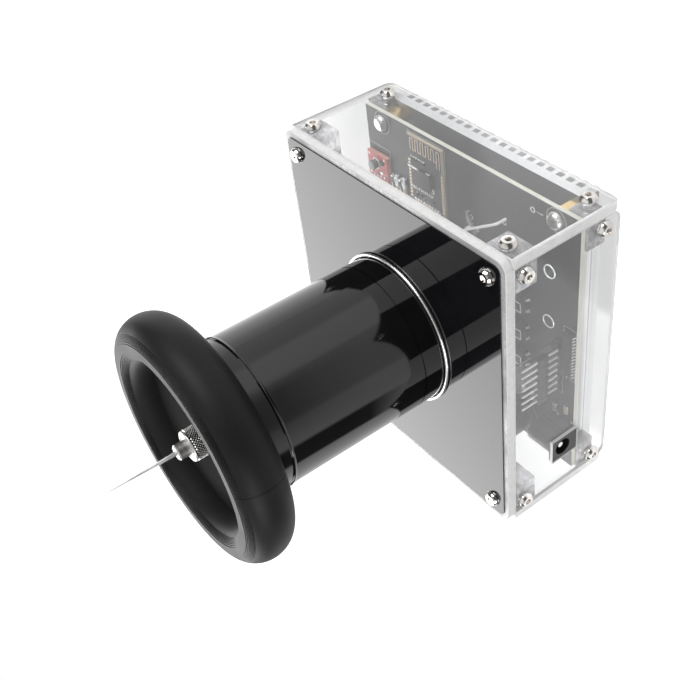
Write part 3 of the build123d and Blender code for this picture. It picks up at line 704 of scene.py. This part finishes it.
# small ceramic parts with tinned ends
ceramic = {"size": (3.2, 1.6, 1.1), "end": 0.55, "lift": 0.05, "inset": 0.1,
           "places": ((-26.5, -42.0), (-24.5, -47.0), (27.0, 34.5), (23.5, 34.5), (27.5, 30.5), (24.0, 30.5),
                      (-29.0, -31.0), (-24.0, -36.0))}
length, width, height = ceramic["size"]
end, lift, inset = pick(ceramic, "end lift inset")
for i, (x, y) in enumerate(ceramic["places"]):
    size = (length - 2 * end, width - inset, height - lift - inset)
    block((x, y, boardTop + lift), size, i % 2, 0.1)
    for side in (1, -1):
        block((x + side * (length - end) / 2, y, boardTop), (end, width, height - lift), 2, 0.12)
addPiece("ceramicParts", [glassyPart, ceramicTan, solder], ["small_parts"],
         bodySmooth)

# storage capacitor: sleeved can with a crimp near its foot and a scored aluminium top
capacitor = {"place": (-40.0, -26.0), "radius": 6.3, "sleeve": 6.2, "neck": 5.8, "height": 12.0, "rim": 5.6,
             "crimp": 2.4, "crimpReach": 0.8, "topDrop": 0.15, "score": (8.82, 0.16, 0.06),
             "scoreTurns": (20, 110), "steps": 48}
r, s, neck, h, rim = pick(capacitor, "radius sleeve neck height rim")
crimp, reach, drop = pick(capacitor, "crimp crimpReach topDrop")
foot = (*capacitor["place"], boardTop)
turned([(0, 0), (neck, 0), (s, 0.3), (s, crimp - reach), (neck, crimp), (s, crimp + reach),
        (s, h - 0.5), (r - 0.35, h - 0.1), (rim, h)], capacitor["steps"], 0, foot)
turned([(rim, h), (rim - drop, h - drop), (0, h - drop)], capacitor["steps"], 1, foot)
# painted shade: the score lines are black strips standing in for the shaded grooves
for turn in capacitor["scoreTurns"]:
    block((*foot[:2], foot[2] + h - drop), capacitor["score"], 2, 0.0, turn)
addPiece("storageCan", [plasticBlack, stripAluminium, plasticBlack],
         ["storage_capacitor"], bodySmooth)

# power transistors screwed to the heat sink: metal tab, moulded body and three bent legs
power = {"x": (29.1, 9.7), "y": -40.4, "level": 9.6, "tabLength": 6.4, "body": (10.0, 9.1, 4.4),
         "cheek": (3.2, 6.4, 1.3), "cheekOut": 3.4, "bridge": (3.7, 1.6, 1.3), "bridgeOut": 2.4,
         "pitch": 2.54, "leg": 0.8, "legThickness": 0.5, "reach": 3.0, "rise": 2.0, "toBoard": 7.4}
py, level, leg, reach, rise = pick(power, "y level leg reach rise")
bodyLength = power["body"][1]
start = py + power["tabLength"] / 2 + bodyLength
for x in power["x"]:
    # the tab: cheeks and bridges round its screw hole
    for side in (1, -1):
        block((x + side * power["cheekOut"], py, level), power["cheek"], 1, 0.1)
    for side in (1, -1):
        block((x, py + side * power["bridgeOut"], level), power["bridge"], 1)
    block((x, start - bodyLength / 2, level), power["body"], 0, 0.3)
    for i in (-1, 0, 1):
        lx = x + i * power["pitch"]
        block((lx, start + reach / 2, level + rise), (leg, reach, power["legThickness"]), 1, 0.05)
        block((lx, start + reach - leg / 2, level + rise), (leg, leg, power["toBoard"] - rise), 1, 0.05)
addPiece("powerDevices", [chipBlack, solder], ["power_transistors"], bodySmooth)

# drawn strip that stands on the heat sink in front of the power devices and fills the gap under the board
strip = {"at": (0.0, -45.45, 9.65), "size": (82.0, 1.4, 7.25), "bevel": 0.15}
block(strip["at"], strip["size"], 0, strip["bevel"])
addPiece("edgeStrip", [stripAluminium])
print("board parts ready")

# wireless board: gold border, folded aerial and edge pads; sizes are width, depth and height
wireless = {"level": 19.4, "centre": (35.2, 18.0), "half": (12.65, 8.65), "trace": 0.24, "fingers": 12,
            "fingerInset": 1.2, "aerialInset": 0.9, "longFinger": 6.4, "finger": 4.2,
            "sidePads": 12, "sidePad": (0.75, 1.1, hairline), "sidePadFrom": 9.5, "sidePadInset": 0.2,
            "endPads": 11, "endPad": (1.1, 0.75, hairline), "endPadFrom": (0.35, -6.35), "padPitch": 1.27}
wx, wy = wireless["centre"]
halfX, halfY = wireless["half"]
z, w, padPitch, fingers = pick(wireless, "level trace padPitch fingers")
block((wx + halfX, wy, z), (w, 2 * halfY, hairline), 0)
block((wx, wy - halfY, z), (2 * halfX, w, hairline), 0)
fingerPitch = 2 * (halfY - wireless["fingerInset"]) / (fingers - 1)
aerialEnd = wx + halfX - wireless["aerialInset"]
for i in range(fingers):
    y = wy - halfY + wireless["fingerInset"] + i * fingerPitch
    reach = wireless["longFinger"] if i < 2 else wireless["finger"]
    block((aerialEnd - reach / 2, y, z), (reach, w, hairline), 0)
    if i < fingers - 1:
        end = aerialEnd - (wireless["finger"] if i % 2 else 0)
        block((end, y + fingerPitch / 2, z), (w, fingerPitch + w, hairline), 0)
for i in range(wireless["sidePads"]):
    x = wx + halfX - wireless["sidePadFrom"] - i * padPitch
    for side in (1, -1):
        block((x, wy + side * (halfY - wireless["sidePadInset"]), z), wireless["sidePad"], 0)
inX, inY = wireless["endPadFrom"]
for i in range(wireless["endPads"]):
    block((wx - halfX + inX, wy + inY + i * padPitch, z), wireless["endPad"], 0)
addPiece("wirelessTraces", [gold])


# rows of equal blocks or discs in a dictionary: first place, step, count, then what block or disc takes
def blockRow(place, step, count, *rest):
    for i in range(count):
        block([p + i * s for p, s in zip(place, step)], *rest)


def discRow(place, step, count, *rest):
    for i in range(count):
        disc([p + i * s for p, s in zip(place, step)], *rest)


# a bright bar, a row of small parts, one tan part with tinned ends, a round part, the chip's pins, plated
# holes along the lower edge and three more small parts; slots: 0 black, 1 solder, 2 tan
wirelessBits = {
    "blocks": (((36.2, 23.3, z), (0, 0, 0), 1, (0.7, 7.6, 0.5), 1, 0.12),
               ((39.8, 24.9, z), (0, -1.3, 0), 6, (1.5, 0.6, 0.45), 0, 0.06),
               ((40.4, 24.9, z), (0, -1.3, 0), 6, (0.4, 0.7, 0.5), 1, 0.06),
               ((34.2, 16.6, z), (0, 0, 0), 1, (5.0, 1.9, 0.7), 2, 0.12),
               ((36.4, 16.6, z), (-4.4, 0, 0), 2, (0.7, 2.0, 0.72), 1, 0.08),
               ((28.6, 25.6, z), (0, -1.0, 0), 12, (1.1, 0.42, 0.3), 1, 0.04)),
    "discs": (((30.6, 14.6, z), (0, 0, 0), 1, 0.9, 0.35, 1, 24, 0.75),
              ((30.6, 14.6, z + 0.35), (0, 0, 0), 1, 0.45, 0.05, 0, 16),
              ((23.9, 24.4, z), (0, -1.5, 0), 9, 0.5, 0.12, 1, 12)),
    "turned": ((26.2, 20.4, 90), (26.0, 23.1, 0), (26.4, 14.0, 90)),
    "body": ((1.5, 0.8, 0.5), 0, 0.08), "ends": ((1.9, 0.7, 0.35), 1, 0.05),
}
for row in wirelessBits["blocks"]:
    blockRow(*row)
for row in wirelessBits["discs"]:
    discRow(*row)
for x, y, turn in wirelessBits["turned"]:
    block((x, y, z), *wirelessBits["body"], turn)
    block((x, y, z), *wirelessBits["ends"], turn)
addPiece("wirelessParts", [chipBlack, solder, ceramicTan])

# soldered pins and links between the wireless board and the red board
pinDots = {
    "pins": ((21.6, 38.6, boardTop), (0.04, -1.9, 0), 11, 0.62, 0.45, 0, 12, 0.35),
    "linkEnds": ((27.0, 37.6, boardTop), (0, -2.2, 0), 4, 0.75, 0.9, 0, 12, 0.45),
    "links": ((24.6, 38.2, boardTop), (0, -2.2, 0), 4, (4.2, 0.5, 0.7), 0, 0.1, 20),
    "domes": ((21.6, 41.8), (19.4, 36.0), (19.2, 31.2), (19.6, 26.0)), "dome": (0.8, 0.3, 0, 14, 0.5),
}
discRow(*pinDots["pins"])
blockRow(*pinDots["links"])
discRow(*pinDots["linkEnds"])
for x, y in pinDots["domes"]:
    disc((x, y, boardTop), *pinDots["dome"])
addPiece("pinDots", [solder])

# red board, its can, and on it the ring round the can's foot, cream dots and small parts
red = {"board": (28.4, 44.2), "size": (9.8, 11.0, 1.6), "centre": (29.4, 45.0), "can": 1.75, "canHeight": 2.4,
       "canChamfer": 0.25, "foot": 0.4, "dots": ((32.2, 48.6), (32.2, 40.2), (24.8, 48.4)),
       "dot": (0.55, 0.12, 1, 20), "pins": ((24.6, 46.4, 20.2), (0.1, -1.9, 0), 4, 0.5, 0.3, 0, 12, 0.3),
       "chip": ((30.8, 41.4), (1.7, 1.5, 0.6), 2), "end": ((26.7, 41.6), (0.9, 1.6, 0.5), 0)}
redTop = boardTop + red["size"][2]
place = (*red["centre"], redTop)
can, canHeight, chamfer = pick(red, "can canHeight canChamfer")
block((*red["board"], boardTop), red["size"], 0, 0.12)
addPiece("redBoardBody", [boardRed], ["red_board"])
turned([(0, 0), (can, 0), (can, canHeight - chamfer), (can - chamfer, canHeight), (0, canHeight)],
       48, 0, place)
addPiece("redBoardCan", [canGrey], ["red_board_can"])
turned([(can, 0), (can + red["foot"], 0), (can + 0.25, 0.3), (can, 0.3)], 40, 0, place, True)
for x, y in red["dots"]:
    disc((x, y, redTop), *red["dot"])
discRow(*red["pins"])
for (x, y), size, slotIndex in (red["chip"], red["end"]):
    block((x, y, redTop), size, slotIndex, 0.1)
addPiece("redDetails", [solder, cream, chipBlack])

# the board's two openings get a thin board-black cover; tinned rings lie beside them
openings = {"places": ((29.1, -40.4), (9.7, -40.4)), "cover": 3.3}
rings = {"places": ((27.7, -37.8), (8.1, -37.8)), "outer": 2.5, "inner": 2.05, "height": 0.3, "bevel": 0.12}
for x, y in openings["places"]:
    disc((x, y, boardTop), openings["cover"], hairline, 0, 48)
addPiece("openingCovers", [boardBlack])
inner, outer, height, bevel = pick(rings, "inner outer height bevel")
for x, y in rings["places"]:
    turned([(inner, 0), (outer, 0), (outer, height / 2), (outer - bevel, height),
            (inner + bevel, height), (inner, height / 2)], 48, 0, (x, y, boardTop), True)
addPiece("boardRings", [pinBright])


# flat ring on the board
def flatRing(x, y, inner, outer, height, steps):
    turned([(inner, 0), (outer, 0), (outer, height), (inner, height)], steps, 0, (x, y, boardTop), True)


# bare pads and soldered joints: rings are (x, y, radius), bars (x, y, width, depth, turn)
pads = {"rings": ((45.0, -31.8, 1.1), (29.0, -3.6, 0.9), (26.0, -6.8, 0.9), (34.3, -19.4, 0.9),
                  (-28.8, -26.5, 1.0), (-44.1, -34.2, 0.9)),
        "bars": ((45.0, -34.8, 0.35, 2.6, 0), (-31.0, -42.0, 1.6, 0.8, 0), (-29.6, -49.2, 1.8, 0.9, 0)),
        "joints": ((-41.5, -31.8), (-35.6, -39.2), (-29.5, -42.9), (-31.4, -48.0), (-44.1, -26.2),
                   (-37.8, -34.8)), "joint": (0.7, 0.4, 0, 14, 0.35)}
for x, y, r in pads["rings"]:
    flatRing(x, y, r * 0.5, r, hairline, 24)
for x, y, w, d, turn in pads["bars"]:
    block((x, y, boardTop), (w, d, hairline), 0, 0.0, turn)
for x, y in pads["joints"]:
    disc((x, y, boardTop), *pads["joint"])
addPiece("boardPads", [solder])

# dim printed outlines round the parts and the screws; those past the board's edge are left out
prints = {"line": 0.18, "height": hairline / 2, "edge": 50, "screwRing": 3.9, "screws": (45.8, 41.5),
          "boxes": ((0.0, -47.2, 21.0, 5.4), (35.2, 18.0, 27.0, 19.0), (-8.2, -43.2, 20.4, 3.0),
                    (29.5, 44.2, 12.8, 11.6)), "canRing": (-40.0, -26.0, 7.0)}
line, thin = prints["line"], prints["height"]
for x, y, w, d in prints["boxes"]:
    for side in (1, -1):
        block((x + side * w / 2, y, boardTop), (line, d, thin))
        if abs(y + side * d / 2) < prints["edge"]:
            block((x, y + side * d / 2, boardTop), (w, line, thin))
sx, sy = prints["screws"]
screwRings = [(x, y, prints["screwRing"]) for x in (sx, -sx) for y in (sy, -sy)]
for x, y, r in [prints["canRing"]] + screwRings:
    flatRing(x, y, r, r + line, thin, 56)
addPiece("boardPrint", [printWhite])

# glass-bodied parts beside the link wire: (x, y, turn), with a bent lead at each end
glass = {"places": ((29.0, -3.6, 25), (26.0, -7.4, -35)), "level": 1.2, "length": 2.8, "radius": 0.85,
         "lead": 0.28, "leadReach": 0.9}
down = Vector((0, 0, glass["level"]))
for x, y, turn in glass["places"]:
    axis = Vector((math.cos(math.radians(turn)), math.sin(math.radians(turn)), 0))
    middle = Vector((x, y, boardTop)) + down
    disc(middle - axis * glass["length"] / 2, glass["radius"], glass["length"], 0, 20, axis=axis)
    for way in (-axis, axis):
        end = middle + way * glass["length"] / 2
        bend = end + way * glass["leadReach"]
        wire([bend - down, bend, end], glass["lead"], 1)
addPiece("glassParts", [glassyPart, solder])

# dim part that stands at the header's end: bars at two levels, a foot and a thin core
standing = {"place": (3.2, -42.5), "bars": ((4.0, 4.7), (12.4, 6.0)), "bar": 0.5, "foot": (2.2, 1.2, 3.8),
            "core": (3.5, 18.4, 0.16)}
x, y = standing["place"]
for level, height in standing["bars"]:
    block((x, y, boardTop + level), (standing["bar"], standing["bar"], height), 0, 0.1)
block((x, y, boardTop), standing["foot"], 1, 0.2)
low, high, radius = standing["core"]
wire([(x, y, boardTop + low), (x, y, boardTop + high)], radius, 1, 8)
addPiece("standingPart", [canGrey, chipBlack])

# inlet: two springs inside the mouth, and two solder tabs behind; place, size, slot, bevel and turn
inlet = {"sideSpring": ((-32.0, -48.95, 23.7), (0.3, 5.6, 2.4), 0, 0.08),
         "topSpring": ((-35.9, -49.35, 26.65), (1.6, 5.0, 0.3), 0, 0.08, 12),
         "rearTab": ((-34.2, -39.15, boardTop), (3.2, 0.5, 5.6), 0, 0.1),
         "sideTab": ((-38.65, -45.35, boardTop), (0.4, 3.0, 4.6), 0, 0.1)}
for spring in inlet.values():
    block(*spring)
addPiece("inletContacts", [nickel])
print("details ready")

stage = {
    "floorSize": 60.0,
    "cameraPlace": (0.21887, -0.217074, 0.199761),
    "cameraTurn": (-47.1871, 51.2243, -97.2392),
    "lens": 54.384,
    "sensor": 36.0,
    "shift": (-0.08688, 0.02549),
    "clip": (0.01, 200.0),
    "wall": 0.13,
    "ceiling": 0.8,
    "wallTop": (0.6, 0.85),
    "floorWhite": 0.35,
    "floorGlow": 0.95,
    "floorShown": 0.9,
    "nearGain": 1.2,
    "nearReach": (0.09, 0.14),
    "cardReach": (0.15, 0.215),
    "cardDepth": 0.95,
    "frontReach": (0.2, 0.34),
    "frontDepth": 0.6,
    # brightness by bearing in degrees from the front, growing to the right
    "around": ((-180, 1.0), (-150, 1.0), (-120, 0.6), (-70, 0.85), (-20, 0.8), (4, 0.86), (9, 0.62),
               (44, 0.64), (60, 0.72), (64, 1.0), (96, 1.0), (103, 0.72), (130, 0.72), (155, 1.0),
               (180, 1.0)),
    "card": ((-180, 0.0), (-61, 0.0), (-57, 1.0), (-30, 1.0), (-26, 0.0), (180, 0.0)),
    "front": ((-180, 0.0), (-20, 0.0), (15, 1.0), (50, 1.0), (70, 0.0), (180, 0.0)),
    # painted shade and light on the floor close round the object, by bearing
    "near": ((-180, 0.75), (-140, 0.8), (-110, 0.93), (-70, 0.93), (-52, 0.82), (-30, 0.82), (60, 0.78),
             (110, 0.75), (140, 0.57), (180, 0.62)),
    # azimuth, elevation, distance, size and radiance
    "boxes": {"boxLeft": (-26, 27, 0.9, (0.6, 0.35), 6.0), "boxRight": (96, 27, 0.9, (0.7, 0.35), 7.2),
              "boxBehind": (-134, 28, 0.9, (1.5, 0.6), 3.6)},
    "boxAim": (0, 0, 0.07),
}
floorMesh = bpy.data.meshes.new("floor")
bmesh.ops.create_grid(bm, x_segments=1, y_segments=1, size=stage["floorSize"] / 2)
bm.to_mesh(floorMesh)
bm.free()
floor = bpy.data.objects.new("floor", floorMesh)
scene.collection.objects.link(floor)

# the paper is plain white to the camera; what the object reflects of it is painted light and shade, uneven as
# in a studio: darker towards the camera, with a dark card at the left, brighter at the right, and painted
# shade and light close round the object, by bearing
floorPaper, tree, bsdf = newMaterial("floorPaper")
x, y, z = splitPoint(tree)
bearing = mathNode(tree, "ARCTAN2", x, times(tree, y, -1.0))
away = addNode(tree, "VectorMath", {"operation": "LENGTH"}, Vector=objectPoint(tree))
away = away.outputs["Value"]


def sector(rows):
    stops = [((degrees + 180) / 360, value) for degrees, value in rows]
    ramp = addNode(tree, "ValToRGB")
    first, last = ramp.color_ramp.elements
    first.position, last.position = stops[0][0], stops[-1][0]
    first.color, last.color = [(*[s[1]] * 3, 1.0) for s in (stops[0], stops[-1])]
    for place, value in stops[1:-1]:
        ramp.color_ramp.elements.new(place).color = (*[value] * 3, 1.0)
    putInto(tree, ramp.inputs[0], mapRange(tree, bearing, -math.pi, math.pi))
    return ramp.outputs[0]


def lessOf(mask):
    return mathNode(tree, "SUBTRACT", 1.0, mask)


card = times(tree, sector(stage["card"]), mapRange(tree, away, *stage["cardReach"]))
front = times(tree, sector(stage["front"]),
              mapRange(tree, away, *stage["frontReach"], 0.0, stage["frontDepth"]))
# painted shade and light on the floor close round the object, by bearing
nearBy = times(tree, sector(stage["near"]), stage["nearGain"])
reach = mapRange(tree, away, *stage["nearReach"])
beside = mathNode(tree, "ADD", reach, times(tree, nearBy, lessOf(reach)))
seen = sector(stage["around"])
for factor in (lessOf(times(tree, card, stage["cardDepth"])), lessOf(front), beside):
    seen = times(tree, seen, factor)
toCamera = addNode(tree, "LightPath").outputs["Is Camera Ray"]
shown = mathNode(tree, "MAXIMUM", seen, toCamera)
paper = mottled(tree, 8.0, 0.98, 1.02)
setShader(tree, bsdf, tinted(tree, [stage["floorWhite"]] * 3, paper, shown), 0.9,
          Specular_IOR_Level=0.0, Emission_Color=(1, 1, 1))
glow = mapRange(tree, toCamera, 0, 1, stage["floorGlow"], stage["floorShown"])
putInto(tree, bsdf.inputs["Emission Strength"], times(tree, shown, glow))
floorMesh.materials.append(floorPaper)

# dark studio walls, a bright ceiling, and plain white behind the object
world = bpy.data.worlds.new("studio")
scene.world = world
world.use_nodes = True
tree = world.node_tree
direction = addNode(tree, "TexCoord").outputs["Generated"]
upwards = addNode(tree, "SeparateXYZ", Vector=direction).outputs[2]
height = mapRange(tree, upwards, *stage["wallTop"], stage["wall"], stage["ceiling"])
toCamera = addNode(tree, "LightPath").outputs["Is Camera Ray"]
putInto(tree, tree.nodes["Background"].inputs[0], (1, 1, 1))
putInto(tree, tree.nodes["Background"].inputs[1], mathNode(tree, "MAXIMUM", height, toCamera))


def softbox(name, azimuth, elevation, distance, size, radiance):
    light = bpy.data.lights.new(name, "AREA")
    light.shape = "RECTANGLE"
    light.size, light.size_y = size
    light.energy = radiance * math.pi * size[0] * size[1]
    box = bpy.data.objects.new(name, light)
    az, el = math.radians(azimuth), math.radians(elevation)
    away = Vector((math.sin(az) * math.cos(el), -math.cos(az) * math.cos(el), math.sin(el)))
    box.location = away * distance + Vector(stage["boxAim"])
    box.rotation_euler = away.to_track_quat("Z", "Y").to_euler()
    scene.collection.objects.link(box)


for name, values in stage["boxes"].items():
    softbox(name, *values)

camera = bpy.data.objects.new("camera", bpy.data.cameras.new("camera"))
camera.location = stage["cameraPlace"]
camera.rotation_euler = [math.radians(a) for a in stage["cameraTurn"]]
camera.data.lens = stage["lens"]
camera.data.sensor_width = stage["sensor"]
camera.data.shift_x, camera.data.shift_y = stage["shift"]
camera.data.clip_start, camera.data.clip_end = stage["clip"]
scene.collection.objects.link(camera)
scene.camera = camera
scene.view_settings.view_transform = "Standard"
print("stage ready")
